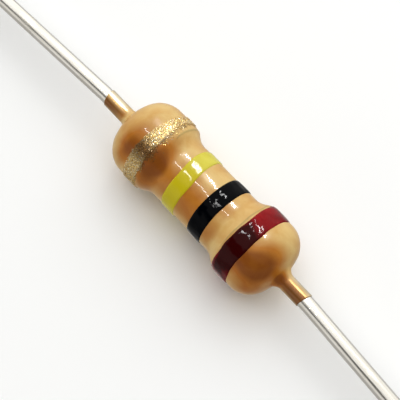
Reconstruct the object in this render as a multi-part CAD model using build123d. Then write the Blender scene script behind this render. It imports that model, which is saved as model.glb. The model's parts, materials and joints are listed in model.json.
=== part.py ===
from build123d import *

import os
from math import asin, atan, cos, hypot, radians, sin, tan

# Quarter-watt carbon film resistor with two axial wires. Sizes are in millimetres, angles in degrees.
# The body lies along X with its first colour ring at the minus X end, +Z is up and Z = 0 is the surface
# that the part rests on, with its two outer rings and the tips of both wires.

# Ceramic rod with its resistive film and the spiral cut that trims it
core_diameter = 1.64
core_length = 5.20
core_edge_round = 0.20
film_thickness = 0.03
trim_width = 0.12
trim_pitch = 0.55
trim_clear_of_caps = 0.45
trim_into_core = 0.02

# Pressed cups on the ends of the rod
cap_wall = 0.20
cap_length = 1.15
cap_corner_round = 0.35
cap_rim_round = 0.06

# Wires, each with an upset foot that is welded to its cup
lead_diameter = 0.45
lead_length = 28.0
lead_bend_radius = 1.5
lead_splay = 2.8
weld_foot_flange = 0.175
weld_foot_height = 0.12
weld_foot_round = 0.05
weld_fillet = 0.10

# Lacquer skin: its thickness over each piece, and the necks that run out along the wires
lacquer_on_film = 0.125
lacquer_on_cap = 0.15
lacquer_on_end = 0.35
lacquer_on_lead = 0.025
first_neck_length = 0.84
last_neck_length = 0.93
straight_past_neck = 0.15
neck_tip_round = 0.02
neck_fillet = 0.28
dome_round = 0.75
dome_lean = 17.0
shoulder_length = 0.35
shoulder_crown_round = 0.45
shoulder_foot_round = 0.60
first_shoulder_past_rim = 0.23
last_shoulder_past_rim = 0.28

# Colour rings: the outer two are placed from the body's ends, the inner two between them, as a share of
# the way from the first ring to the last
paint_thickness = 0.03
first_ring_inset = 1.26
first_ring_width = 0.60
second_ring_share = 0.345
second_ring_width = 0.52
third_ring_share = 0.63
third_ring_width = 0.50
last_ring_inset = 1.27
last_ring_width = 0.435

# Worked out from the sizes above
core_radius = core_diameter / 2
film_radius = core_radius + film_thickness
film_half_length = core_length / 2 - core_edge_round
cap_radius = film_radius + cap_wall
cap_end = core_length / 2 + cap_wall
cap_rim = cap_end - cap_length
trim_length = 2 * (cap_rim - trim_clear_of_caps)
lead_radius = lead_diameter / 2
weld_foot_radius = lead_radius + weld_foot_flange
waist_radius = film_radius + lacquer_on_film
bulge_radius = cap_radius + lacquer_on_cap
neck_radius = lead_radius + lacquer_on_lead
body_end = cap_end + lacquer_on_end
axis_height = bulge_radius + paint_thickness


def revolved(section):
    return revolve(section, axis=Axis.X)


def half_section(corners, rounds):
    # a closed outline above the axis, with a rounding for each of its corners
    return make_face(FilletPolyline(*corners, radius=rounds, close=True))


def at_first_end(shape):
    # pieces are drawn at the plus X end, and turned over for the other end
    return mirror(shape, about=Plane.YZ)


def trim_cut():
    # a square-edged groove that winds round the rod
    helix = Helix(trim_pitch, trim_length, film_radius, center=(-trim_length / 2, 0, 0), direction=(1, 0, 0))
    start = helix @ 0
    outward = Vector(0, start.Y, start.Z)
    depth = 2 * (film_thickness + trim_into_core)
    profile = Plane(origin=start, x_dir=outward, z_dir=helix % 0) * Rectangle(depth, trim_width)
    return sweep(profile, path=helix, is_frenet=True)


def ceramic_core(cut):
    half = core_length / 2
    corners = [(-half, 0), (-half, core_radius), (half, core_radius), (half, 0)]
    return revolved(half_section(corners, [0, core_edge_round, core_edge_round, 0])) - cut


def film_section():
    return Pos(0, core_radius + film_thickness / 2) * Rectangle(2 * film_half_length, film_thickness)


def carbon_film(cut):
    return revolved(film_section()) - cut


def cap_section():
    # the cup as if it were solid
    corners = [(cap_rim, 0), (cap_rim, cap_radius), (cap_end, cap_radius), (cap_end, 0)]
    return half_section(corners, [0, cap_rim_round, cap_corner_round, 0])


def end_cap():
    inner_end = cap_end - cap_wall
    corners = [(cap_rim, 0), (cap_rim, film_radius), (inner_end, film_radius), (inner_end, 0)]
    inside = half_section(corners, [0, 0, max(cap_corner_round - cap_wall, 0), 0])
    return revolved(cap_section() - inside)


def foot_section():
    top = cap_end + weld_foot_height
    wire_start = top + 2 * weld_fillet
    corners = [
        (cap_end, 0),
        (cap_end, weld_foot_radius),
        (top, weld_foot_radius),
        (top, lead_radius),
        (wire_start, lead_radius),
        (wire_start, 0),
    ]
    return half_section(corners, [0, 0, weld_foot_round, weld_fillet, 0, 0])


def lead_bend(neck_length):
    return body_end + neck_length + straight_past_neck


def lead_tip(neck_length):
    # the wire slopes down until the underside of its tip is on the resting surface
    run = lead_length - neck_length - straight_past_neck
    slope = asin(axis_height / hypot(run, lead_radius)) - atan(lead_radius / run)
    splay = radians(lead_splay)
    reach = run * cos(slope)
    return (lead_bend(neck_length) + reach * cos(splay), reach * sin(splay), -run * sin(slope))


def lead(neck_length):
    route = [(cap_end, 0, 0), (lead_bend(neck_length), 0, 0), lead_tip(neck_length)]
    path = FilletPolyline(*route, radius=lead_bend_radius)
    wire = sweep(Plane(origin=path @ 0, z_dir=path % 0) * Circle(lead_radius), path=path)
    return wire + revolved(foot_section())


def body_section():
    # outside of the lacquer, as if the body were solid
    first_tip = -body_end - first_neck_length
    last_tip = body_end + last_neck_length
    dome_corner = body_end - (bulge_radius - neck_radius) * tan(radians(dome_lean))
    first_shoulder = -cap_rim + first_shoulder_past_rim
    last_shoulder = cap_rim - last_shoulder_past_rim
    slope = shoulder_length / 2
    corners_and_rounds = [
        ((first_tip, 0), 0),
        ((first_tip, neck_radius), neck_tip_round),
        ((-body_end, neck_radius), neck_fillet),
        ((-dome_corner, bulge_radius), dome_round),
        ((first_shoulder - slope, bulge_radius), shoulder_crown_round),
        ((first_shoulder + slope, waist_radius), shoulder_foot_round),
        ((last_shoulder - slope, waist_radius), shoulder_foot_round),
        ((last_shoulder + slope, bulge_radius), shoulder_crown_round),
        ((dome_corner, bulge_radius), dome_round),
        ((body_end, neck_radius), neck_fillet),
        ((last_tip, neck_radius), neck_tip_round),
        ((last_tip, 0), 0),
    ]
    corners, rounds = zip(*corners_and_rounds)
    return half_section(corners, list(rounds))


def coating():
    # the film's groove stays open under the lacquer
    film = Pos(0, film_radius / 2) * Rectangle(2 * cap_rim, film_radius)
    ends = cap_section() + foot_section()
    wire_length = body_end + max(first_neck_length, last_neck_length)
    wires = Pos(0, lead_radius / 2) * Rectangle(2 * wire_length, lead_radius)
    return revolved(body_section() - film - ends - mirror(ends, about=Plane.YZ) - wires)


def ring(place, width):
    # a band of paint that follows the lacquer under it
    strip = Pos(place, 0) * Rectangle(width, 4 * bulge_radius)
    section = body_section()
    return revolved((Pos(0, paint_thickness) * section & strip) - section)


def rings():
    first = first_ring_inset - body_end
    last = body_end - last_ring_inset
    second = first + second_ring_share * (last - first)
    third = first + third_ring_share * (last - first)
    return {
        "band_red": ring(first, first_ring_width),
        "band_black": ring(second, second_ring_width),
        "band_yellow": ring(third, third_ring_width),
        "band_gold": ring(last, last_ring_width),
    }


def main():
    cut = trim_cut()
    pieces = {
        "ceramic_core": ceramic_core(cut),
        "carbon_film": carbon_film(cut),
        "end_cap_left": at_first_end(end_cap()),
        "end_cap_right": end_cap(),
        "lead_left": at_first_end(lead(first_neck_length)),
        "lead_right": lead(last_neck_length),
        "coating": coating(),
        **rings(),
    }
    # the wires spread to +Y only, so the body is set to -Y of the middle by half the difference
    wire_reach = lead_tip(first_neck_length)[1] + lead_radius * cos(radians(lead_splay))
    body_reach = bulge_radius + paint_thickness
    place = Pos(0, (body_reach - wire_reach) / 2, axis_height)
    os.makedirs("parts", exist_ok=True)
    for name, piece in pieces.items():
        export_step(place * piece, f"parts/{name}.step")
        print(f"{name}: {piece.volume:.4f} mm3")


main()
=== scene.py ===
import json
import math

import bpy
from mathutils import Matrix, Vector, noise


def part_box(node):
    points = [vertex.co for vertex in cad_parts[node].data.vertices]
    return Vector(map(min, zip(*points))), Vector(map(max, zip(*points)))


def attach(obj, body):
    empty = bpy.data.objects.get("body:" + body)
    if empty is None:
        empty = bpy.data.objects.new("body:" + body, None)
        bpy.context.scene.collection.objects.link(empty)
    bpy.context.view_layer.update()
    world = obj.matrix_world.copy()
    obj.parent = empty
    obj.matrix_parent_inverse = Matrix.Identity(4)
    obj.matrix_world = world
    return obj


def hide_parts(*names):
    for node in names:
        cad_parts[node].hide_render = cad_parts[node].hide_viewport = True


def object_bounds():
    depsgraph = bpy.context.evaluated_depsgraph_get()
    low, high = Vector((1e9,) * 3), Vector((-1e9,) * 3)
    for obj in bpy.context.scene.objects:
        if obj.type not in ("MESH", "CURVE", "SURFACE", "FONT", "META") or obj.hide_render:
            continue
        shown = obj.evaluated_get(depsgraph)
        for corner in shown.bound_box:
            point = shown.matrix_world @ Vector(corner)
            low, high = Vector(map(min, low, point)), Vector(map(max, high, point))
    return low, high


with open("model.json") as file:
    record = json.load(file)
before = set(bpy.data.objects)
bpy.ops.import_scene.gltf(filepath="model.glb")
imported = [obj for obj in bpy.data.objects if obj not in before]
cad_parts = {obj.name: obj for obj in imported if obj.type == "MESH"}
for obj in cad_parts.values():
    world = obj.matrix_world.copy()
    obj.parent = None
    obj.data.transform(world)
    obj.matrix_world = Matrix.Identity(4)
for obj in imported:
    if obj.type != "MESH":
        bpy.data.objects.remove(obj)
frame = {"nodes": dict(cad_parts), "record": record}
cadLow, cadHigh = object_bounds()
print("frame loaded")

mm = 0.001
turn = 2 * math.pi


# small helpers

def colour(red, green, blue):
    # from the 0 to 255 of a colour picker to Blender's linear values
    def linear(value):
        value /= 255
        return value / 12.92 if value <= 0.04045 else ((value + 0.055) / 1.055) ** 2.4
    return (linear(red), linear(green), linear(blue), 1)


def smooth(low, high, value):
    share = min(max((value - low) / (high - low), 0), 1)
    return share * share * (3 - 2 * share)


def bell(value, middle, width):
    return math.exp(-((value - middle) / width) ** 2)


def addNode(tree, kind, options=None, inputs=None):
    # an input is either another node's output, which is linked, or a value
    made = tree.nodes.new(kind)
    for name, value in (options or {}).items():
        setattr(made, name, value)
    for name, value in (inputs or {}).items():
        socket = made.inputs[name]
        if isinstance(value, bpy.types.NodeSocket):
            tree.links.new(value, socket)
        else:
            socket.default_value = value
    return made


def mixColours(tree, factor, first, second):
    mix = addNode(tree, "ShaderNodeMix", {"data_type": "RGBA"}, {0: factor, 6: first, 7: second})
    return mix.outputs[2]


def mapRange(tree, value, fromLow, fromHigh, toLow=0.0, toHigh=1.0):
    made = addNode(tree, "ShaderNodeMapRange", {"clamp": True}, {
        "Value": value, "From Min": fromLow, "From Max": fromHigh,
        "To Min": toLow, "To Max": toHigh})
    return made.outputs["Result"]


def pieceValue(tree, name):
    return addNode(tree, "ShaderNodeAttribute", {"attribute_name": name}).outputs["Fac"]


def meshObject(name, vertices, faces, material):
    mesh = bpy.data.meshes.new(name)
    mesh.from_pydata(vertices, [], faces)
    mesh.polygons.foreach_set("use_smooth", [True] * len(mesh.polygons))
    mesh.materials.append(material)
    mesh.update()
    made = bpy.data.objects.new(name, mesh)
    bpy.context.scene.collection.objects.link(made)
    return made


def wrappedFaces(around, across):
    # quads of a grid that closes on itself both ways, like a ring
    faces = []
    for i in range(around):
        this, following = i * across, (i + 1) % around * across
        for j in range(across):
            k = (j + 1) % across
            faces.append((this + j, following + j, following + k, this + k))
    return faces


# where things are, from the frame

coatLow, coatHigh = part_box("coating")
capLow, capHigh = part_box("end_cap_right")
filmLow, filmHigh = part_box("carbon_film")
redLow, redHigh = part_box("band_red")
blackLow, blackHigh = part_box("band_black")
axisY = (coatLow.y + coatHigh.y) / 2
axisZ = (coatLow.z + coatHigh.z) / 2
bulgeRadius = (coatHigh.z - coatLow.z) / 2
paintThickness = (redHigh.z - redLow.z) / 2 - bulgeRadius
waistRadius = (blackHigh.z - blackLow.z) / 2 - paintThickness
wireMounts = {mount["name"]: mount for mount in frame["record"]["mounts"]}
wireRadius = wireMounts["wire_end_left"]["dims"]["r_mm"] * mm


def onBody(x, radius, angle):
    # a point by its place along the body, its distance from the axis and its angle,
    # which is 0 towards +Y and a quarter turn straight up
    return Vector((x, axisY + radius * math.cos(angle), axisZ + radius * math.sin(angle)))


# shader groups that several finishes use

def groupSockets(group, inputs, outputs):
    for name, kind, value in inputs:
        socket = group.interface.new_socket(name, in_out="INPUT", socket_type=kind)
        if value is not None:
            socket.default_value = value
    for name in outputs:
        group.interface.new_socket(name, in_out="OUTPUT", socket_type="NodeSocketFloat")
    return group.nodes.new("NodeGroupInput"), group.nodes.new("NodeGroupOutput")


def makePoolingGroup():
    # the gentle pooling and orange peel of a dipped skin, as a height
    group = bpy.data.node_groups.new("dippedPeel", "ShaderNodeTree")
    given, result = groupSockets(group, [
        ("Vector", "NodeSocketVector", None),
        ("Pool Scale", "NodeSocketFloat", 1.6),
        ("Peel Scale", "NodeSocketFloat", 7.0),
        ("Peel Share", "NodeSocketFloat", 0.25)], ["Height"])
    pools = addNode(group, "ShaderNodeTexNoise", inputs={
        "Vector": given.outputs["Vector"], "Scale": given.outputs["Pool Scale"],
        "Detail": 1.0, "Roughness": 0.4})
    peel = addNode(group, "ShaderNodeTexNoise", inputs={
        "Vector": given.outputs["Vector"], "Scale": given.outputs["Peel Scale"],
        "Detail": 2.0, "Roughness": 0.5})
    share = addNode(group, "ShaderNodeMix", {"data_type": "FLOAT"}, {
        0: given.outputs["Peel Share"], 2: pools.outputs[0], 3: peel.outputs[0]})
    group.links.new(share.outputs[0], result.inputs["Height"])
    return group


def makeMottleGroup():
    # cloudy patches, as a mask from 0 to 1
    group = bpy.data.node_groups.new("cloudyPatches", "ShaderNodeTree")
    given, result = groupSockets(group, [
        ("Vector", "NodeSocketVector", None),
        ("Patch Scale", "NodeSocketFloat", 1.2),
        ("Softness", "NodeSocketFloat", 0.2),
        ("Amount", "NodeSocketFloat", 0.5)], ["Mask"])
    clouds = addNode(group, "ShaderNodeTexNoise", inputs={
        "Vector": given.outputs["Vector"], "Scale": given.outputs["Patch Scale"], "Detail": 4.0,
        "Roughness": 0.55, "Distortion": 0.4})
    low = addNode(group, "ShaderNodeMath", {"operation": "SUBTRACT"}, {
        0: given.outputs["Amount"], 1: given.outputs["Softness"]})
    high = addNode(group, "ShaderNodeMath", {"operation": "ADD"}, {
        0: given.outputs["Amount"], 1: given.outputs["Softness"]})
    mask = mapRange(group, clouds.outputs[0], low.outputs[0], high.outputs[0])
    group.links.new(mask, result.inputs["Mask"])
    return group


def makeSpeckGroup():
    # sparse tiny specks of dust or pits, as a mask from 0 to 1
    group = bpy.data.node_groups.new("fineSpecks", "ShaderNodeTree")
    given, result = groupSockets(group, [
        ("Vector", "NodeSocketVector", None),
        ("Speck Scale", "NodeSocketFloat", 9.0),
        ("Speck Size", "NodeSocketFloat", 0.12)], ["Mask"])
    cells = addNode(group, "ShaderNodeTexVoronoi", inputs={
        "Vector": given.outputs["Vector"], "Scale": given.outputs["Speck Scale"],
        "Randomness": 1.0})
    mask = mapRange(group, cells.outputs["Distance"], 0.0, given.outputs["Speck Size"], 1.0, 0.0)
    group.links.new(mask, result.inputs["Mask"])
    return group


peelGroup = makePoolingGroup()
mottleGroup = makeMottleGroup()
speckGroup = makeSpeckGroup()


def useGroup(tree, group, vector, values):
    # a value called patchScale goes to the group's input called Patch Scale
    made = addNode(tree, "ShaderNodeGroup", {"node_tree": group}, {"Vector": vector})
    for name, value in values.items():
        spaced = "".join(" " + letter if letter.isupper() else letter for letter in name).title()
        made.inputs[spaced].default_value = value
    return made.outputs[0]


def newFinish(name, base, roughness, metallic=0.0):
    material = bpy.data.materials.new(name)
    material.use_nodes = True
    tree = material.node_tree
    shader = tree.nodes["Principled BSDF"]
    shader.inputs["Base Color"].default_value = base
    shader.inputs["Roughness"].default_value = roughness
    shader.inputs["Metallic"].default_value = metallic
    place = addNode(tree, "ShaderNodeTexCoord")
    # patterns are sized per millimetre
    inMillimetres = addNode(tree, "ShaderNodeMapping", inputs={
        "Vector": place.outputs["Object"], "Location": (0, -axisY / mm, -axisZ / mm),
        "Scale": (1 / mm,) * 3})
    return material, tree, shader, inMillimetres.outputs[0]


def bumpInto(tree, shader, height, distance):
    bump = addNode(tree, "ShaderNodeBump", inputs={"Height": height, "Distance": distance})
    tree.links.new(bump.outputs["Normal"], shader.inputs["Normal"])


# finishes

lacquerLook = {
    # each pair holds the two shades of the cloudy patches
    # the pale colours are painted light, the middling ones the usual tone and the deep ones painted
    # shade
    "thin": (colour(218, 184, 118), colour(206, 160, 90)),
    "middling": (colour(186, 118, 40), colour(170, 98, 26)),
    "deep": (colour(122, 60, 12), colour(110, 50, 9)),
    "patches": {"patchScale": 1.4, "amount": 0.5, "softness": 0.14},
    # from and to which value of the painted shade mask one colour turns into the next
    "litToMiddling": (0.05, 0.65),
    "middlingToShaded": (0.7, 1.1),
    # the beads of varnish on the two crowns
    "rim": colour(160, 142, 86),
    "rimShare": (0.2, 1.0, 0.0, 0.65),
    # the necks start between these places in millimetres, and turn pale where the painted shade
    # mask is lowest, on their -Y side: partly bare wire, partly a painted highlight
    "neckStart": (3.2, 3.6),
    "neck": (colour(200, 166, 106), colour(128, 80, 34)),
    "neckShading": (0.0, 0.7),
    "paleNeck": colour(228, 218, 190),
    "paleNeckShare": (0.0, 0.15, 0.85, 0.0),
    "neckMetal": (0.0, 0.3, 0.75, 0.3),
    # on the body and on the necks
    "clearCoat": (0.17, 0.5),
    "coatRoughness": 0.03,
    "roughness": 0.28,
    "specular": 0.14,
    "specks": {"speckScale": 5.0, "speckSize": 0.05},
    "speckRoughness": 0.45,
    "peel": {"poolScale": 1.5, "peelScale": 6.0, "peelShare": 0.12},
    "peelHeight": 0.02 * mm,
}


def tanLacquer():
    look = lacquerLook
    material, tree, shader, vector = newFinish("tanLacquer", look["middling"][0], look["roughness"])
    patches = useGroup(tree, mottleGroup, vector, look["patches"])
    # the painted shade mask of each point
    shadeMask = pieceValue(tree, "paintedShade")
    thin, middling, deep = (
        mixColours(tree, patches, *look[part]) for part in ("thin", "middling", "deep"))
    skin = mixColours(tree, mapRange(tree, shadeMask, *look["litToMiddling"]), thin, middling)
    skin = mixColours(tree, mapRange(tree, shadeMask, *look["middlingToShaded"]), skin, deep)
    rim = mapRange(tree, pieceValue(tree, "crownRim"), *look["rimShare"])
    skin = mixColours(tree, rim, skin, look["rim"])

    # the necks are painted paler and more metallic on their -Y side, where the painted shade mask
    # is
    # low: partly the wire shining through the thin skin, partly a painted highlight
    along = addNode(tree, "ShaderNodeSeparateXYZ", inputs={"Vector": vector})
    outward = addNode(tree, "ShaderNodeMath", {"operation": "ABSOLUTE"}, {0: along.outputs["X"]})
    onNeck = mapRange(tree, outward.outputs[0], *look["neckStart"])
    neck = mixColours(tree, mapRange(tree, shadeMask, *look["neckShading"]), *look["neck"])
    neck = mixColours(tree, mapRange(tree, shadeMask, *look["paleNeckShare"]), neck, look["paleNeck"])
    tree.links.new(mixColours(tree, onNeck, skin, neck), shader.inputs["Base Color"])
    shine = addNode(tree, "ShaderNodeMath", {"operation": "MULTIPLY"}, {
        0: onNeck, 1: mapRange(tree, shadeMask, *look["neckMetal"])})
    tree.links.new(shine.outputs[0], shader.inputs["Metallic"])
    tree.links.new(mapRange(tree, onNeck, 0, 1, *look["clearCoat"]), shader.inputs["Coat Weight"])

    specks = useGroup(tree, speckGroup, vector, look["specks"])
    tree.links.new(mapRange(tree, specks, 0, 1, look["roughness"], look["speckRoughness"]),
                   shader.inputs["Roughness"])
    shader.inputs["Coat Roughness"].default_value = look["coatRoughness"]
    shader.inputs["Specular IOR Level"].default_value = look["specular"]
    bumpInto(tree, shader, useGroup(tree, peelGroup, vector, look["peel"]), look["peelHeight"])
    return material


ringLooks = {
    # the first colour of each is painted light, where the ring is lit, the second painted shade
    "redPaint": {"thin": colour(150, 18, 24), "deep": colour(48, 0, 1),
                 "roughness": 0.08, "specular": 0.1, "peelHeight": 0.045 * mm},
    "blackPaint": {"thin": colour(4, 5, 8), "deep": colour(0, 1, 4),
                   "roughness": 0.05, "specular": 0.055, "peelHeight": 0.045 * mm},
    "yellowPaint": {"thin": colour(212, 202, 76), "deep": colour(200, 184, 24),
                    "roughness": 0.14, "specular": 0.2, "peelHeight": 0.02 * mm},
}
ringPattern = {
    "patches": {"patchScale": 2.2, "amount": 0.55, "softness": 0.2},
    "patchShare": 0.2,
    # painted shade mask values, mixed a little with random patches, between which the colour turns
    # dark
    "litToShaded": (0.0, 0.4),
    "specks": {"speckScale": 6.0, "speckSize": 0.06},
    "speckRoughness": 0.35,
    "peel": {"poolScale": 3.2, "peelScale": 9.0, "peelShare": 0.1},
}


def ringPaint(name):
    # glossy enamel, painted lighter where the painted shade mask is low and darker where it is high
    look, pattern = ringLooks[name], ringPattern
    material, tree, shader, vector = newFinish(name, look["thin"], look["roughness"])
    shader.inputs["Specular IOR Level"].default_value = look["specular"]
    patches = useGroup(tree, mottleGroup, vector, pattern["patches"])
    blotchy = addNode(tree, "ShaderNodeMix", {"data_type": "FLOAT"}, {
        0: pattern["patchShare"], 2: pieceValue(tree, "paintedShade"), 3: patches})
    shadedShare = mapRange(tree, blotchy.outputs[0], *pattern["litToShaded"])
    enamel = mixColours(tree, shadedShare, look["thin"], look["deep"])
    tree.links.new(enamel, shader.inputs["Base Color"])
    specks = useGroup(tree, speckGroup, vector, pattern["specks"])
    tree.links.new(mapRange(tree, specks, 0, 1, look["roughness"], pattern["speckRoughness"]),
                   shader.inputs["Roughness"])
    bumpInto(tree, shader, useGroup(tree, peelGroup, vector, pattern["peel"]), look["peelHeight"])
    return material


goldLook = {
    "paint": {
        # the last of the four colours is painted shade
        "dark": colour(200, 160, 92), "gold": colour(250, 216, 134),
        "pale": colour(255, 250, 224), "aged": colour(102, 64, 20),
        "darkTones": (0.25, 0.75), "paleTones": (0.7, 0.95),
        "roughness": (0.22, 0.5), "metallic": 0.65},
    "flake": {
        "dark": colour(204, 164, 92), "gold": colour(252, 220, 140),
        "pale": colour(255, 251, 228), "aged": colour(108, 70, 24),
        "darkTones": (0.1, 0.55), "paleTones": (0.6, 1.0),
        "roughness": (0.4, 0.2), "metallic": 0.7},
    "shadedDarkShare": (0.1, 1.0, 0.0, 0.95),
    "grainScale": 24.0,
    "grainHeight": 0.03 * mm,
}


def goldTones(tree, shader, look, darkTone, paleTone, roughTone):
    # dark, gold and pale grains, painted darker where the painted shade mask is high
    goldShare = mapRange(tree, darkTone, *look["darkTones"])
    metal = mixColours(tree, goldShare, look["dark"], look["gold"])
    metal = mixColours(tree, mapRange(tree, paleTone, *look["paleTones"]), metal, look["pale"])
    shadedDarkShare = mapRange(tree, pieceValue(tree, "paintedShade"), *goldLook["shadedDarkShare"])
    tree.links.new(mixColours(tree, shadedDarkShare, metal, look["aged"]), shader.inputs["Base Color"])
    tree.links.new(mapRange(tree, roughTone, 0, 1, *look["roughness"]), shader.inputs["Roughness"])


def goldPaint():
    # bronze powder in clear varnish: every grain catches the light its own way
    look = goldLook["paint"]
    material, tree, shader, vector = newFinish(
        "goldPaint", look["gold"], look["roughness"][0], look["metallic"])
    grains = addNode(tree, "ShaderNodeTexVoronoi", inputs={
        "Vector": vector, "Scale": goldLook["grainScale"]})
    tone = addNode(tree, "ShaderNodeSeparateColor", inputs={"Color": grains.outputs["Color"]})
    goldTones(tree, shader, look, *(tone.outputs[part] for part in ("Red", "Green", "Blue")))
    bumpInto(tree, shader, tone.outputs["Blue"], goldLook["grainHeight"])
    return material


def goldFlake():
    look = goldLook["flake"]
    material, tree, shader, vector = newFinish(
        "goldFlake", look["gold"], look["roughness"][0], look["metallic"])
    tone = pieceValue(tree, "flakeTone")
    goldTones(tree, shader, look, tone, tone, tone)
    return material


wireLook = {
    "tin": colour(252, 251, 247),
    "dull": colour(226, 221, 208),
    "line": colour(238, 235, 226),
    # how long and how wide the drawn lines are
    "stretch": (2.86, 0.11, 0.11),
    "lines": {"Scale": 2.2, "Detail": 5.0, "Roughness": 0.65},
    "lineTones": (0.35, 0.7),
    "lineHeight": 0.004 * mm,
    "patches": {"patchScale": 1.1, "amount": 0.62, "softness": 0.1},
    "dullShare": 0.6,
    "roughness": (0.16, 0.34),
}


def tinnedWire(name, direction):
    # tin plate drawn along the wire, with fine lines and a few dull patches
    look = wireLook
    material, tree, shader, vector = newFinish(name, look["tin"], look["roughness"][0], 1.0)
    yaw = math.atan2(direction.y, direction.x)
    pitch = -math.asin(direction.z)
    stretched = addNode(tree, "ShaderNodeMapping", {"vector_type": "TEXTURE"}, {
        "Vector": vector, "Rotation": (0, pitch, yaw), "Scale": look["stretch"]})
    lines = addNode(tree, "ShaderNodeTexNoise", inputs={
        "Vector": stretched.outputs[0], **look["lines"]})
    patches = useGroup(tree, mottleGroup, vector, look["patches"])
    drawn = mixColours(
        tree, mapRange(tree, lines.outputs[0], *look["lineTones"]), look["line"], look["tin"])
    dull = mapRange(tree, patches, 0, 1, 0, look["dullShare"])
    tree.links.new(mixColours(tree, dull, drawn, look["dull"]), shader.inputs["Base Color"])
    tree.links.new(mapRange(tree, patches, 0, 1, *look["roughness"]), shader.inputs["Roughness"])
    bumpInto(tree, shader, lines.outputs[0], look["lineHeight"])
    return material


# the pieces sealed inside: fired ceramic, baked carbon and pressed steel
insideLooks = {
    "firedCeramic": {
        "nodes": ["ceramic_core"],
        "base": colour(235, 231, 220), "fleck": colour(222, 214, 198),
        "roughness": 0.6, "metallic": 0.0, "scale": 3.0, "height": 0.01 * mm},
    "carbonFilm": {
        "nodes": ["carbon_film"],
        "base": colour(38, 38, 40), "fleck": colour(52, 51, 50),
        "roughness": 0.45, "metallic": 0.0, "scale": 4.0, "height": 0.004 * mm},
    "capSteel": {
        "nodes": ["end_cap_left", "end_cap_right"],
        "base": colour(200, 196, 186), "fleck": colour(176, 170, 160),
        "roughness": 0.32, "metallic": 1.0, "scale": 2.0, "height": 0.004 * mm},
}
insidePattern = {"amount": 0.55, "softness": 0.12, "peelPerPool": 5, "peelShare": 0.5}


def insideFinish(name):
    look, pattern = insideLooks[name], insidePattern
    material, tree, shader, vector = newFinish(
        name, look["base"], look["roughness"], look["metallic"])
    scale = look["scale"]
    patches = useGroup(tree, mottleGroup, vector, {
        "patchScale": scale, "amount": pattern["amount"], "softness": pattern["softness"]})
    flecked = mixColours(tree, patches, look["base"], look["fleck"])
    tree.links.new(flecked, shader.inputs["Base Color"])
    peel = useGroup(tree, peelGroup, vector, {
        "poolScale": scale, "peelScale": pattern["peelPerPool"] * scale,
        "peelShare": pattern["peelShare"]})
    bumpInto(tree, shader, peel, look["height"])
    return material


lacquer = tanLacquer()
redPaint, blackPaint, yellowPaint = (ringPaint(name) for name in ringLooks)
goldRingPaint = goldPaint()
flakeMetal = goldFlake()
print("finishes made")


# lacquer body

bodyShape = {
    "endFace": 3.15 * mm,
    "neckFillet": 0.28 * mm,
    "neckSkin": 0.025 * mm,
    "neckTip": 0.02 * mm,
    "domeRound": 0.75 * mm,
    "domeLean": math.radians(17),
    "firstShoulder": -1.42 * mm,
    "lastShoulder": 1.39 * mm,
    "shoulderSlope": 0.35 * mm,
    "crownRound": 0.45 * mm,
    "footRound": 0.60 * mm,
    "capCorner": 0.35 * mm,
    "weldFoot": (0.40 * mm, 0.12 * mm),
    "around": 192,
    "step": 0.045 * mm,
    "arcStep": math.radians(7),
    # scales are how many lumps or dimples there are to a millimetre
    "lumpHeight": 0.010 * mm,
    "lumpScale": 0.8,
    "smallLumpShare": 0.5,
    "smallLumpScale": 1.7,
    "dimpleHeight": 0.0035 * mm,
    "dimpleScale": 3.6,
    "seed": (3.7, 1.3, 7.1),
    # they fade out towards the necks, from this many wire radii inwards
    "lumpsFadeWithin": 3,
    # place along the body, middle and half spread of the beads on the two crowns
    "rims": (
        (-1.555 * mm, math.radians(105), math.radians(75)),
        (1.51 * mm, math.radians(145), math.radians(50))),
    "rimHeight": 0.012 * mm,
    "rimWidth": 0.035 * mm,
    "rimWander": 0.03 * mm,
    "rimWanderScale": 2,
    "rimFullSpread": 0.4,
    # the necks' ragged ends stand back a little on average, and reach further out on the +Y side
    "neckTrim": 0.05 * mm,
    "neckSlant": 0.055 * mm,
    "neckSlantTurn": 0.3,
    "neckStart": 0.25 * mm,
}


def roundedLine(corners, rounds, step, arcStep):
    # a polyline with rounded corners, as points no further apart than step, or arcStep on its arcs
    nearlyStraight = math.pi - 1e-4
    keys = [Vector(corners[0])]
    for before, corner, after, radius in zip(corners, corners[1:], corners[2:], rounds[1:]):
        corner = Vector(corner)
        back = (Vector(before) - corner).normalized()
        ahead = (Vector(after) - corner).normalized()
        opening = back.angle(ahead)
        if radius == 0 or opening > nearlyStraight:
            keys.append(corner)
            continue
        centre = corner + (back + ahead).normalized() * radius / math.sin(opening / 2)
        first = corner + back * radius / math.tan(opening / 2) - centre
        last = corner + ahead * radius / math.tan(opening / 2) - centre
        sweep = math.copysign(math.pi - opening, first.cross(last))
        count = max(2, math.ceil(abs(sweep) / arcStep))
        for k in range(count + 1):
            keys.append(centre + Matrix.Rotation(sweep * k / count, 2) @ first)
    keys.append(Vector(corners[-1]))
    points = []
    for start, end in zip(keys, keys[1:]):
        count = max(1, math.ceil((end - start).length / step))
        points += [start.lerp(end, k / count) for k in range(count)]
    return points + [keys[-1]]


def outerCorners():
    shape = bodyShape
    neckRadius = wireRadius + shape["neckSkin"]
    domeCorner = shape["endFace"] - (bulgeRadius - neckRadius) * math.tan(shape["domeLean"])
    slope = shape["shoulderSlope"] / 2
    crown, foot = shape["crownRound"], shape["footRound"]
    dome, fillet, tip = shape["domeRound"], shape["neckFillet"], shape["neckTip"]
    return [
        ((coatLow.x, wireRadius), 0),
        ((coatLow.x, neckRadius), tip),
        ((-shape["endFace"], neckRadius), fillet),
        ((-domeCorner, bulgeRadius), dome),
        ((shape["firstShoulder"] - slope, bulgeRadius), crown),
        ((shape["firstShoulder"] + slope, waistRadius), foot),
        ((shape["lastShoulder"] - slope, waistRadius), foot),
        ((shape["lastShoulder"] + slope, bulgeRadius), crown),
        ((domeCorner, bulgeRadius), dome),
        ((shape["endFace"], neckRadius), fillet),
        ((coatHigh.x, neckRadius), tip),
        ((coatHigh.x, wireRadius), 0),
    ]


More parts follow.
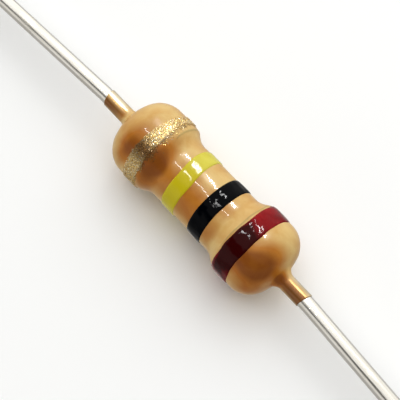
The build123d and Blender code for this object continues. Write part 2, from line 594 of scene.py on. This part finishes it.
def innerCorners():
    # the hollow that the rod, caps and weld feet fill, from the plus X end back to the minus X end
    shape = bodyShape
    footRadius, footHeight = shape["weldFoot"]
    capRadius = (capHigh.z - capLow.z) / 2
    filmRadius = (filmHigh.z - filmLow.z) / 2
    half = [
        ((capHigh.x + footHeight, wireRadius), 0),
        ((capHigh.x + footHeight, footRadius), 0),
        ((capHigh.x, footRadius), 0),
        ((capHigh.x, capRadius), shape["capCorner"]),
        ((capLow.x, capRadius), 0),
        ((capLow.x, filmRadius), 0),
    ]
    other = [((-x, radius), rounding) for (x, radius), rounding in reversed(half)]
    return [((coatHigh.x, wireRadius), 0), *half, *other, ((coatLow.x, wireRadius), 0)]


def lump(point):
    # how far the skin stands above or below its plain outline there
    shape = bodyShape
    spot = Vector((point.x, point.y - axisY, point.z - axisZ)) / mm
    seed = Vector(shape["seed"])
    broad = noise.noise(spot * shape["lumpScale"] + seed)
    broad += shape["smallLumpShare"] * noise.noise(spot * shape["smallLumpScale"] + seed)
    fine = noise.noise(spot * shape["dimpleScale"] - seed)
    return shape["lumpHeight"] * broad + shape["dimpleHeight"] * fine


def crownRim(x, angle):
    # a thin bead of varnish on the crown of each shoulder, over part of the way round, from 0 to 1
    shape = bodyShape
    scale, full = shape["rimWanderScale"], shape["rimFullSpread"]
    bead = 0
    for crown, middle, spread in shape["rims"]:
        spot = Vector((scale * math.cos(angle), scale * math.sin(angle), crown / mm))
        wander = shape["rimWander"] * noise.noise(spot)
        part = smooth(math.cos(spread), math.cos(full * spread), math.cos(angle - middle))
        bead += part * bell(x, crown + wander, shape["rimWidth"])
    return bead


# painted shade and painted light: the colour is painted darker on surfaces facing the direction
# below, the dim side under the room's dark beam, and paler on the lit -Y side, with some random
# unevenness and a few painted dark and pale spots
paintedShading = {
    "towards": Vector((-0.55, 0.54, 0.64)).normalized(),
    "range": (0.42, 1.12),
    "unevenness": 0.3,
    "unevenScale": 1.1,
    # place along the body, angle, size and strength of the painted spots: dark, or pale where the
    # strength is below 0
    "pools": [
        (2.45 * mm, math.radians(50), 0.5 * mm, 0.24),
        (1.22 * mm, math.radians(58), 0.3 * mm, 0.25),
        (-2.32 * mm, math.radians(55), 0.4 * mm, 0.5),
        (-3.70 * mm, math.radians(65), 0.7 * mm, 0.4),
        (-1.08 * mm, math.radians(64), 0.35 * mm, -0.35),
        (-2.55 * mm, math.radians(26), 0.38 * mm, -0.35),
        (-2.90 * mm, math.radians(5), 0.45 * mm, 0.3),
    ],
}


def paintedShade(x, normal, angle):
    # painted shade there, from 0 where the colour is painted pale and lit to 1 where it is painted
    # dark
    outward = Vector((normal.x, normal.y * math.cos(angle), normal.y * math.sin(angle)))
    shadeMask = smooth(*paintedShading["range"], outward.dot(paintedShading["towards"]))
    spot = onBody(x, bulgeRadius, angle)
    shadeMask += paintedShading["unevenness"] * noise.noise(spot / mm * paintedShading["unevenScale"])
    for spotX, spotAngle, size, strength in paintedShading["pools"]:
        shadeMask += strength * bell((spot - onBody(spotX, bulgeRadius, spotAngle)).length, 0, size)
    return min(max(shadeMask, 0), 1)


def storeValues(piece, name, values):
    piece.data.attributes.new(name, "FLOAT", "POINT").data.foreach_set("value", values)


def skinPoint(x, radius, normal, angle):
    # a point of the plain outline, carried out along the outline's own normal by the skin's lumps
    shape = bodyShape
    lumpy = smooth(wireRadius, shape["lumpsFadeWithin"] * wireRadius, radius)
    lift = lumpy * (lump(onBody(x, radius, angle)) + shape["rimHeight"] * crownRim(x, angle))
    start = shape["endFace"] + shape["neckStart"]
    onNeck = max(0, (abs(x) - start) / (coatHigh.x - start))
    reach = shape["neckSlant"] * math.cos(angle + shape["neckSlantTurn"]) - shape["neckTrim"]
    along = x + normal.x * lift + math.copysign(onNeck * reach, x)
    return onBody(along, radius + normal.y * lift, angle)


def outlineNormals(points):
    normals = []
    for i in range(len(points)):
        before, after = points[max(i - 1, 0)], points[min(i + 1, len(points) - 1)]
        along = (after - before).normalized()
        normals.append(Vector((-along.y, along.x)))
    return normals


def outline(cornersAndRounds):
    corners, rounds = zip(*cornersAndRounds)
    return roundedLine(corners, rounds, bodyShape["step"], bodyShape["arcStep"])


outerLine = outline(outerCorners())
outerNormals = outlineNormals(outerLine)


def plainRadius(x):
    # radius of the outline between the two domes, where x alone says the place
    for start, end in zip(outerLine, outerLine[1:]):
        if start.x <= x <= end.x and end.x > start.x:
            return start.y + (end.y - start.y) * (x - start.x) / (end.x - start.x)
    return waistRadius


def makeBody():
    shape = bodyShape
    inner = outline(innerCorners())[1:-1]
    hidden = [0] * len(inner)
    vertices, shadeMasks, rims = [], [], []
    for i in range(shape["around"]):
        angle = turn * i / shape["around"]
        vertices += [skinPoint(p.x, p.y, n, angle) for p, n in zip(outerLine, outerNormals)]
        vertices += [onBody(p.x, p.y, angle) for p in inner]
        # the painted shade mask of each outline point, and none inside
        shadeMasks += [paintedShade(p.x, n, angle) for p, n in zip(outerLine, outerNormals)] + hidden
        rims += [crownRim(p.x, angle) for p in outerLine] + hidden
    across = len(outerLine) + len(inner)
    made = meshObject("lacquer_body", vertices, wrappedFaces(shape["around"], across), lacquer)
    storeValues(made, "paintedShade", shadeMasks)
    storeValues(made, "crownRim", rims)
    return made


body = makeBody()
print("lacquer body made")


# colour rings

rings = {
    # fullness is how thick the paint lies as a share of its CAD thickness, wave how far the edges
    # wander, slant how far the ring leans along the body at its upper -Y side, and narrowing how
    # much narrower it runs out there
    "band_red": {
        "piece": "ring_red", "paint": redPaint, "slot": "red_paint", "fullness": 0.9,
        "wave": 0.045 * mm, "slant": 0, "narrowing": 0, "seed": 1.0},
    "band_black": {
        "piece": "ring_black", "paint": blackPaint, "slot": "black_paint", "fullness": 0.9,
        "wave": 0.014 * mm, "slant": 0, "narrowing": 0, "seed": 4.0},
    "band_yellow": {
        "piece": "ring_yellow", "paint": yellowPaint, "slot": "yellow_paint", "fullness": 0.9,
        "wave": 0.016 * mm, "slant": 0.09 * mm, "narrowing": 0, "seed": 8.0},
    "band_gold": {
        "piece": "ring_gold", "paint": goldRingPaint, "slot": "gold_paint", "fullness": 0.6,
        "wave": 0.035 * mm, "slant": 0, "narrowing": 0.45, "seed": 12.0},
}
ringShape = {
    "around": 300,
    "across": 22,
    "under": 4,
    # how deep the underside lies in the lacquer, and the edges' share of that
    "sunk": 0.012 * mm,
    "edgeSunk": 0.2,
    # a higher power makes the ring flatter, with steeper edges
    "edgePower": 6,
    "unevenness": 0.12,
    "unevenScale": 3.1,
    "waveScale": 1.4,
    "smallWaveScale": 3.7,
    "smallWaveShare": 0.5,
    "upperMiddle": math.radians(145),
    "upperRange": (0.2, 1.0),
    # middle and width of the gold ring's stretch with a painted reflection of the dark beam
    "shadedStretch": (math.radians(61), math.radians(20)),
}


def edgeWave(angle, seed):
    # how far a ring's edge wanders, from about -1 to 1
    shape = ringShape
    spot = Vector((math.cos(angle), math.sin(angle), seed))
    small = noise.noise(spot * shape["smallWaveScale"])
    return noise.noise(spot * shape["waveScale"]) + shape["smallWaveShare"] * small


ringSpans = {node: [corner.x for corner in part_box(node)] for node in rings}


def ringPaintedShade(node, x, angle):
    # the gold ring is one colour but for a stretch with a painted reflection of the dark beam
    if node == "band_gold":
        return bell(angle, *ringShape["shadedStretch"])
    return paintedShade(x, plainNormal(x), angle)


def ringEdges(node, angle):
    ring, shape = rings[node], ringShape
    low, high = ringSpans[node]
    upper = smooth(*shape["upperRange"], math.cos(angle - shape["upperMiddle"]))
    middle = (low + high) / 2 + ring["slant"] * upper
    half = (high - low) / 2 * (1 - ring["narrowing"] * upper)
    # the far edge wanders by a seed of its own
    return (middle - half + ring["wave"] * edgeWave(angle, ring["seed"]),
            middle + half + ring["wave"] * edgeWave(angle, ring["seed"] + 20))


def plainNormal(x):
    reach = 0.03 * mm
    along = Vector((2 * reach, plainRadius(x + reach) - plainRadius(x - reach))).normalized()
    return Vector((-along.y, along.x))


def skinRadius(x, angle):
    plain = plainRadius(x)
    return plain + lump(onBody(x, plain, angle)) + bodyShape["rimHeight"] * crownRim(x, angle)


def makeRing(node):
    ring, shape = rings[node], ringShape
    thickness = paintThickness * ring["fullness"]
    vertices, shadeMasks = [], []
    for i in range(shape["around"]):
        angle = turn * i / shape["around"]
        left, right = ringEdges(node, angle)
        for j in range(shape["across"] + 1):
            # from -1 at the left edge to 1 at the right edge
            share = 2 * j / shape["across"] - 1
            x = left + (right - left) * (share + 1) / 2
            spot = onBody(x, waistRadius, angle) / mm * shape["unevenScale"]
            uneven = noise.noise(spot + Vector((ring["seed"],) * 3))
            height = thickness * (1 + shape["unevenness"] * uneven)
            height *= math.sqrt(max(0, 1 - share ** shape["edgePower"]))
            height -= shape["edgeSunk"] * shape["sunk"]
            vertices.append(onBody(x, skinRadius(x, angle) + height, angle))
            # the painted shade mask
            shadeMasks.append(ringPaintedShade(node, x, angle))
        for j in range(shape["under"] + 1):
            x = right + (left - right) * j / shape["under"]
            vertices.append(onBody(x, skinRadius(x, angle) - shape["sunk"], angle))
            shadeMasks.append(0)
    across = shape["across"] + shape["under"] + 2
    faces = wrappedFaces(shape["around"], across)
    made = meshObject(ring["piece"], vertices, faces, ring["paint"])
    storeValues(made, "paintedShade", shadeMasks)
    return made


ringPieces = {node: makeRing(node) for node in rings}
print("colour rings made")


# gold flakes

flakes = {
    "density": 3400 / mm ** 2,
    "radius": 0.016 * mm,
    "smallest": (0.45, 0.45, 1.0),
    "largest": (1.15, 1.0, 1.0),
    "tilt": math.radians(28),
    "seed": 11,
    "lift": 0.004 * mm,
    # the bed that carries them runs past the ring on its inner and outer side
    "around": 240,
    "across": 40,
    "bedMargins": (0.3 * mm, 0.15 * mm),
    # it steps down from the paint between these distances outside and inside an edge
    "stepDown": (0.06 * mm, 0.02 * mm),
    # flakes of the ring's ragged fringe are drawn darker: this is added to their painted shade mask
    "fringeDarkening": 0.5,
    "fringeRange": (-0.04 * mm, 0.01 * mm),
}
flakeCover = {
    # on the ring
    "usual": 0.75,
    "least": 0.35,
    "patchiness": 0.5,
    "patchScale": 2.2,
    # past its edges, where spray and smear each reach out by a usual and a ragged share
    "beyond": 0.75,
    "raggedScale": 5.0,
    "sprayReach": 0.05 * mm,
    "sprayShares": (0.5, 0.8),
    "smearReach": 0.28 * mm,
    "smearShares": (0.7, 1.0),
    "smearMiddle": math.radians(96),
    "smearRange": (0.2, 0.9),
}


def goldCover(x, angle):
    # how densely flakes lie there: full on the ring, ragged beyond its edges, and smeared over the
    # upper part of its inner side
    cover = flakeCover
    left, right = ringEdges("band_gold", angle)
    spot = onBody(x, bulgeRadius, angle) / mm
    if left <= x <= right:
        patchy = cover["usual"] + cover["patchiness"] * noise.noise(spot * cover["patchScale"])
        return min(1, max(cover["least"], patchy))
    ragged = noise.noise(spot * cover["raggedScale"])
    usual, extra = cover["sprayShares"]
    reach = cover["sprayReach"] * (usual + extra * ragged)
    beyond = x - right
    if x < left:
        beyond = left - x
        smear = smooth(*cover["smearRange"], math.cos(angle - cover["smearMiddle"]))
        usual, extra = cover["smearShares"]
        reach += cover["smearReach"] * smear * (usual + extra * ragged)
    return cover["beyond"] * (1 - smooth(0, max(reach, 1e-6), beyond))


def makeFlakeBed():
    # an open strip just above the paint, which only carries the flakes
    low, high = ringSpans["band_gold"]
    inner, outer = flakes["bedMargins"]
    start, end = low - inner, high + outer
    outside, inside = flakes["stepDown"]
    paint = rings["band_gold"]["fullness"] * paintThickness
    rows = flakes["across"] + 1
    vertices, cover, shadeMasks = [], [], []
    for i in range(flakes["around"]):
        angle = turn * i / flakes["around"]
        for j in range(rows):
            x = start + (end - start) * j / flakes["across"]
            on = smooth(low - outside, low + inside, x)
            on *= 1 - smooth(high - inside, high + outside, x)
            radius = skinRadius(x, angle) + flakes["lift"] + paint * on
            vertices.append(onBody(x, radius, angle))
            cover.append(goldCover(x, angle))
            left = ringEdges("band_gold", angle)[0]
            fringe = 1 - smooth(*flakes["fringeRange"], x - left)
            shadeMasks.append(ringPaintedShade("band_gold", x, angle) + flakes["fringeDarkening"] * fringe)
    faces = []
    for i in range(flakes["around"]):
        this, following = i * rows, (i + 1) % flakes["around"] * rows
        for j in range(flakes["across"]):
            faces.append((this + j, following + j, following + j + 1, this + j + 1))
    bed = meshObject("gold_flakes", vertices, faces, flakeMetal)
    storeValues(bed, "goldCover", cover)
    storeValues(bed, "paintedShade", shadeMasks)
    return bed


def treeSockets(tree, inputs):
    # a geometry input and output, with the named inputs between them
    geometry = "NodeSocketGeometry"
    tree.interface.new_socket("Geometry", in_out="INPUT", socket_type=geometry)
    for name, kind in inputs.items():
        tree.interface.new_socket(name, in_out="INPUT", socket_type="NodeSocket" + kind)
    tree.interface.new_socket("Geometry", in_out="OUTPUT", socket_type=geometry)
    return tree.nodes.new("NodeGroupInput").outputs, tree.nodes.new("NodeGroupOutput")


def finishTree(tree, geometry, material, result):
    real = addNode(tree, "GeometryNodeRealizeInstances", inputs={"Geometry": geometry})
    finished = addNode(tree, "GeometryNodeSetMaterial", inputs={
        "Geometry": real.outputs[0], "Material": material})
    tree.links.new(finished.outputs[0], result.inputs["Geometry"])


def flakeTree():
    # six-sided flakes strewn over the bed, each spun, tilted, sized and toned by chance
    tree = bpy.data.node_groups.new("metalFlakes", "GeometryNodeTree")
    get, result = treeSockets(tree, {
        "Density": "Float", "Flake Radius": "Float", "Tilt": "Float", "Seed": "Int",
        "Material": "Material"})
    cover = addNode(tree, "GeometryNodeInputNamedAttribute", {"data_type": "FLOAT"}, {
        "Name": "goldCover"})
    density = addNode(tree, "ShaderNodeMath", {"operation": "MULTIPLY"}, {
        0: get["Density"], 1: cover.outputs["Attribute"]})
    scatter = addNode(tree, "GeometryNodeDistributePointsOnFaces", {
        "distribute_method": "RANDOM"}, {
        "Mesh": get["Geometry"], "Density": density.outputs[0], "Seed": get["Seed"]})
    hexagon = addNode(tree, "GeometryNodeMeshCircle", {"fill_type": "NGON"}, {
        "Vertices": 6, "Radius": get["Flake Radius"]})
    negative = addNode(tree, "ShaderNodeMath", {"operation": "MULTIPLY"}, {0: get["Tilt"], 1: -1.0})
    low = addNode(tree, "ShaderNodeCombineXYZ", inputs={
        "X": negative.outputs[0], "Y": negative.outputs[0]})
    high = addNode(tree, "ShaderNodeCombineXYZ", inputs={
        "X": get["Tilt"], "Y": get["Tilt"], "Z": turn})
    spin = addNode(tree, "FunctionNodeRandomValue", {"data_type": "FLOAT_VECTOR"}, {
        "Min": low.outputs[0], "Max": high.outputs[0], "Seed": 1})
    tilted = addNode(tree, "FunctionNodeRotateRotation", {"rotation_space": "LOCAL"}, {
        "Rotation": scatter.outputs["Rotation"], "Rotate By": spin.outputs[0]})
    size = addNode(tree, "FunctionNodeRandomValue", {"data_type": "FLOAT_VECTOR"}, {
        "Min": flakes["smallest"], "Max": flakes["largest"], "Seed": 2})
    placed = addNode(tree, "GeometryNodeInstanceOnPoints", inputs={
        "Points": scatter.outputs["Points"], "Instance": hexagon.outputs["Mesh"],
        "Rotation": tilted.outputs[0], "Scale": size.outputs[0]})
    tone = addNode(tree, "FunctionNodeRandomValue", {"data_type": "FLOAT"}, {"Seed": 3})
    toned = addNode(tree, "GeometryNodeStoreNamedAttribute", {
        "data_type": "FLOAT", "domain": "INSTANCE"}, {
        "Geometry": placed.outputs[0], "Name": "flakeTone", "Value": tone.outputs[1]})
    finishTree(tree, toned.outputs[0], get["Material"], result)
    return tree


def runTree(carrier, tree, values):
    # sets the tree's inputs, then swaps the carrier for a plain mesh of the result
    modifier = carrier.modifiers.new(tree.name, "NODES")
    modifier.node_group = tree
    for item in tree.interface.items_tree:
        if item.in_out == "INPUT" and item.name in values:
            modifier[item.identifier] = values[item.name]
    evaluated = carrier.evaluated_get(bpy.context.evaluated_depsgraph_get())
    mesh = bpy.data.meshes.new_from_object(evaluated)
    name = carrier.name
    bpy.data.objects.remove(carrier)
    mesh.name = name
    made = bpy.data.objects.new(name, mesh)
    bpy.context.scene.collection.objects.link(made)
    return made


goldFlakes = runTree(makeFlakeBed(), flakeTree(), {
    "Density": flakes["density"], "Flake Radius": flakes["radius"], "Tilt": flakes["tilt"],
    "Seed": flakes["seed"], "Material": flakeMetal})
print("gold flakes made:", len(goldFlakes.data.polygons))


# wires

wireShape = {
    "bendRadius": 1.5 * mm,
    "bendPoints": 6,
    "sides": 56,
    "step": 0.25 * mm,
    "pinchLength": 0.35 * mm,
    "pinch": 0.28,
    "shear": 0.10 * mm,
}
wires = {
    "lead_left": {"piece": "wire_left", "mount": "wire_end_left"},
    "lead_right": {"piece": "wire_right", "mount": "wire_end_right"},
}


def wireTree():
    # a round wire with closed ends along a route whose corners it rounds
    tree = bpy.data.node_groups.new("wireAlongRoute", "GeometryNodeTree")
    get, result = treeSockets(tree, {
        "Wire Radius": "Float", "Bend Radius": "Float", "Step": "Float", "Sides": "Int",
        "Material": "Material"})
    bent = addNode(tree, "GeometryNodeFilletCurve", {"mode": "POLY"}, {
        "Curve": get["Geometry"], "Radius": get["Bend Radius"], "Count": wireShape["bendPoints"]})
    spaced = addNode(tree, "GeometryNodeResampleCurve", {"mode": "LENGTH"}, {
        "Curve": bent.outputs[0], "Length": get["Step"]})
    circle = addNode(tree, "GeometryNodeCurvePrimitiveCircle", inputs={
        "Resolution": get["Sides"], "Radius": get["Wire Radius"]})
    tube = addNode(tree, "GeometryNodeCurveToMesh", inputs={
        "Curve": spaced.outputs[0], "Profile Curve": circle.outputs[0], "Fill Caps": True})
    finishTree(tree, tube.outputs[0], get["Material"], result)
    return tree


def wireRoute(mount):
    # from the weld straight out along the body's axis, then off along the mount's own line to the
    # cut end
    middle, along = Vector(mount["pos_m"]), Vector(mount["axis"]).normalized()
    corner = middle - along * (middle.y - axisY) / along.y
    tip = middle + along * mount["dims"]["length_mm"] * mm / 2
    weld = Vector((math.copysign(capHigh.x, along.x), axisY, axisZ))
    return [weld, corner, tip], along


def pinchTip(wire, tip, along):
    # cutters leave a flattened, slanted end
    shape = wireShape
    for vertex in wire.data.vertices:
        back = (tip - vertex.co).dot(along)
        share = 1 - smooth(0, shape["pinchLength"], back)
        if share <= 0:
            continue
        height = vertex.co.z - (tip.z - along.z * back)
        vertex.co.z -= height * shape["pinch"] * share
        vertex.co -= along * shape["shear"] * share * (0.5 + height / (2 * wireRadius))


def makeWire(node, tree):
    wire, shape = wires[node], wireShape
    route, along = wireRoute(wireMounts[wire["mount"]])
    curve = bpy.data.curves.new(wire["piece"], "CURVE")
    curve.dimensions = "3D"
    spline = curve.splines.new("POLY")
    spline.points.add(len(route) - 1)
    for point, place in zip(spline.points, route):
        point.co = (*place, 1)
    carrier = bpy.data.objects.new(wire["piece"], curve)
    bpy.context.scene.collection.objects.link(carrier)
    made = runTree(carrier, tree, {
        "Wire Radius": wireRadius, "Bend Radius": shape["bendRadius"], "Step": shape["step"],
        "Sides": shape["sides"], "Material": tinnedWire(wire["piece"] + "Tin", along)})
    pinchTip(made, route[-1], along)
    for polygon in made.data.polygons:
        polygon.use_smooth = len(polygon.vertices) == 4
    return made


wireRule = wireTree()
wirePieces = {node: makeWire(node, wireRule) for node in wires}
print("wires made")


# sealed pieces, and what rides where

for name, look in insideLooks.items():
    finish = insideFinish(name)
    for node in look["nodes"]:
        slots = frame["nodes"][node].data.materials
        slots.clear()
        slots.append(finish)

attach(body, "root")
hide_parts("coating")
for node, piece in ringPieces.items():
    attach(piece, "root")
    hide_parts(node)
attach(goldFlakes, "root")
for node, piece in wirePieces.items():
    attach(piece, "root")
    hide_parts(node)
print("pieces placed")


# table, light and camera

studio = {
    "tableSize": 2.0,
    "tableGap": 0.01 * mm,
    "tableColour": colour(246, 246, 246),
    "tableRoughness": 0.6,
    "bodyMiddle": Vector((0, axisY, axisZ)),
    # angles in degrees
    "cameraAzimuth": 228.2,
    "cameraElevation": 68.7,
    "cameraDistance": 35 * mm,
    "framedWidth": 11.16 * mm,
    "shift": (-0.0124, -0.0067),
    "lightDistance": 0.3,
}


def makeTable():
    half = studio["tableSize"] / 2
    z = cadLow.z - studio["tableGap"]
    corners = [(-half, -half, z), (half, -half, z), (half, half, z), (-half, half, z)]
    white = newFinish("whiteTable", studio["tableColour"], studio["tableRoughness"])[0]
    table = meshObject("table", corners, [(0, 1, 2, 3)], white)
    # its mirror image in the lacquer is left to the room's own lower half
    table.visible_glossy = False


def aim(thing, place):
    # puts a lamp or camera there and turns it to the body
    turned = (studio["bodyMiddle"] - place).to_track_quat("-Z", "Y").to_matrix().to_4x4()
    thing.matrix_world = Matrix.Translation(place) @ turned


def onSphere(azimuth, elevation, distance):
    # azimuth 0 is in front, on the -Y side, and grows towards +X
    azimuth, elevation = math.radians(azimuth), math.radians(elevation)
    flat = math.cos(elevation)
    return studio["bodyMiddle"] + distance * Vector((
        math.sin(azimuth) * flat, -math.cos(azimuth) * flat, math.sin(elevation)))


# the glossy ones are only seen as reflections, and the other is only felt as light
lights = {
    "windowUpper": {
        "azimuth": 25, "elevation": 50, "size": (0.018, 0.06), "radiance": 120,
        "tint": (1.0, 1.0, 1.0), "glossy": True},
    "windowLower": {
        "azimuth": 25, "elevation": 59, "size": (0.012, 0.05), "radiance": 95,
        "tint": (1.0, 1.0, 1.0), "glossy": True},
    "lampAbove": {
        "azimuth": 100, "elevation": 73, "size": (0.020, 0.03), "radiance": 65,
        "tint": (1.0, 1.0, 1.0), "glossy": True},
    "ceilingFill": {
        "azimuth": 25, "elevation": 65, "size": (0.46, 0.46), "radiance": 0.84,
        "tint": (0.88, 0.95, 1.0), "glossy": False},
}


def makeLight(name):
    light = lights[name]
    data = bpy.data.lights.new(name, "AREA")
    data.shape = "RECTANGLE"
    data.size, data.size_y = light["size"]
    data.energy = light["radiance"] * math.pi * data.size * data.size_y
    data.color = light["tint"]
    made = bpy.data.objects.new(name, data)
    bpy.context.scene.collection.objects.link(made)
    aim(made, onSphere(light["azimuth"], light["elevation"], studio["lightDistance"]))
    made.visible_glossy = light["glossy"]
    made.visible_diffuse = not light["glossy"]


room = {
    "tint": colour(255, 252, 247),
    "strength": 1.12,
    "alongX": (-0.8, 0.15, 0.4, 1.0),
    "alongY": (-0.3, 0.9, 1.0, 0.7),
    "darkElevation": math.radians(41),
    "darkHalfWidth": (math.radians(17), math.radians(8)),
    "darkLevel": 0.16,
    "below": (-0.25, 0.02, 0.5, 1.0),
}


def makeWorld():
    # a white room with its window side at -Y and +X, dim towards -X, and a dark beam over its
    # +Y side
    world = bpy.data.worlds.new("room")
    bpy.context.scene.world = world
    world.use_nodes = True
    tree = world.node_tree
    background = tree.nodes["Background"]
    background.inputs["Color"].default_value = room["tint"]
    direction = addNode(tree, "ShaderNodeTexCoord").outputs["Generated"]
    parts = addNode(tree, "ShaderNodeSeparateXYZ", inputs={"Vector": direction})
    sideways = mapRange(tree, parts.outputs["X"], *room["alongX"])
    across = mapRange(tree, parts.outputs["Y"], *room["alongY"])
    flat = addNode(tree, "ShaderNodeVectorMath", {"operation": "MULTIPLY"}, {
        0: direction, 1: (0, 1, 1)})
    unit = addNode(tree, "ShaderNodeVectorMath", {"operation": "NORMALIZE"}, {0: flat.outputs[0]})
    lean = room["darkElevation"]
    nearBeam = addNode(tree, "ShaderNodeVectorMath", {"operation": "DOT_PRODUCT"}, {
        0: unit.outputs[0], 1: (0, math.cos(lean), math.sin(lean))})
    wide, narrow = room["darkHalfWidth"]
    beam = mapRange(tree, nearBeam.outputs["Value"], math.cos(wide), math.cos(narrow),
                    1.0, room["darkLevel"])
    below = mapRange(tree, parts.outputs["Z"], *room["below"])
    level = room["strength"]
    for share in (sideways, across, beam, below):
        product = addNode(tree, "ShaderNodeMath", {"operation": "MULTIPLY"}, {0: share, 1: level})
        level = product.outputs[0]
    tree.links.new(level, background.inputs["Strength"])


def makeCamera():
    distance = studio["cameraDistance"]
    data = bpy.data.cameras.new("camera")
    camera = bpy.data.objects.new("camera", data)
    bpy.context.scene.collection.objects.link(camera)
    aim(camera, onSphere(studio["cameraAzimuth"], studio["cameraElevation"], distance))
    data.lens = data.sensor_width * distance / studio["framedWidth"]
    data.shift_x, data.shift_y = studio["shift"]
    data.clip_start, data.clip_end = 1 * mm, 10
    bpy.context.scene.camera = camera


makeTable()
for name in lights:
    makeLight(name)
makeWorld()
makeCamera()
bpy.context.scene.view_settings.view_transform = "Standard"
print("studio made")
